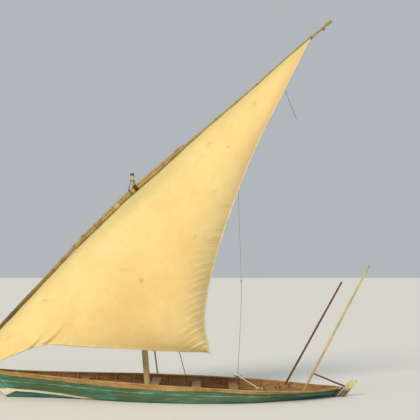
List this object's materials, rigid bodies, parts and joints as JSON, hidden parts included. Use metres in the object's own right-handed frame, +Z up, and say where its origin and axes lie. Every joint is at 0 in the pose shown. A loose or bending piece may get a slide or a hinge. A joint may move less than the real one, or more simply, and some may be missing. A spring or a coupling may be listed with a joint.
{
  "type": "open lateen dhow sailing boat",
  "caption": "Open double-ended planked wooden dhow with raked stem, forward-raking mast, long yard and lateen sail, and a rudder hung on the sternpost.",
  "frame": {"origin": "middle of the hull at the waterline it floats at", "axes": "+X aft to the stern, -Y to port, +Z up"},
  "size_m": [9.2686, 2.6546, 9.2632],
  "materials": {
    "blue_paint": "worn blue oil paint on planks",
    "green_paint": "worn green oil paint on planks",
    "bare_wood": "bare weathered hardwood",
    "inner_wood": "oiled bare planks",
    "grey_wood": "grey weathered wood",
    "rudder_wood": "pale bare plank",
    "pole_wood": "peeled pole",
    "dark_pole_wood": "dark mangrove pole",
    "sailcloth": "worn woven cotton",
    "rope": "laid coir rope",
    "rusty_iron": "rusty forged iron"
  },
  "bodies": {
    "hull": {"keel": "blue_paint", "stem_post": "green_paint", "stern_post": "grey_wood", "bottom_planking_port": "blue_paint", "bottom_planking_starboard": "blue_paint", "top_strake_port": "green_paint", "top_strake_starboard": "green_paint", "rail_port": "bare_wood", "rail_starboard": "bare_wood", "ribs_and_keelson": "inner_wood", "riser_port": "inner_wood", "riser_starboard": "inner_wood", "thwart_fore": "bare_wood", "thwart_mid": "bare_wood", "thwart_aft": "bare_wood", "thwart_helm": "bare_wood", "mast": "bare_wood", "mast_beam": "bare_wood", "mast_step": "inner_wood", "floor_boards": "inner_wood", "fore_deck": "inner_wood", "stern_deck": "inner_wood", "bow_bitt": "grey_wood", "gudgeon_low": "rusty_iron", "gudgeon_high": "rusty_iron", "setting_pole_port": "pole_wood", "setting_pole_starboard": "dark_pole_wood", "pole_chock_port": "grey_wood", "pole_chock_starboard": "grey_wood", "shroud_fore": "rope", "shroud_aft": "rope", "halyard": "rope"},
    "rig": {"yard_lower_pole": "pole_wood", "yard_upper_pole": "pole_wood", "sail": "sailcloth", "lashing_low": "rope", "lashing_mid": "rope", "lashing_high": "rope", "yard_sling": "rope", "parrel": "rope"},
    "rudder": {"rudder_stock": "rudder_wood", "rudder_blade": "grey_wood", "tiller": "dark_pole_wood", "pintle_low": "rusty_iron", "pintle_high": "rusty_iron"}
  },
  "joints": [
    {"name": "rig_swing", "type": "hinge", "parent": "hull", "child": "rig", "pos_m": [-0.36, 0, -0.33], "axis": [-0.0787, 0, 0.9969], "range_deg": [-60, 0]},
    {"name": "rudder_turn", "type": "hinge", "parent": "hull", "child": "rudder", "pos_m": [3.83306, 0, 0], "axis": [0.6432, 0, 0.7657], "range_deg": [-35, 35]}
  ]
}
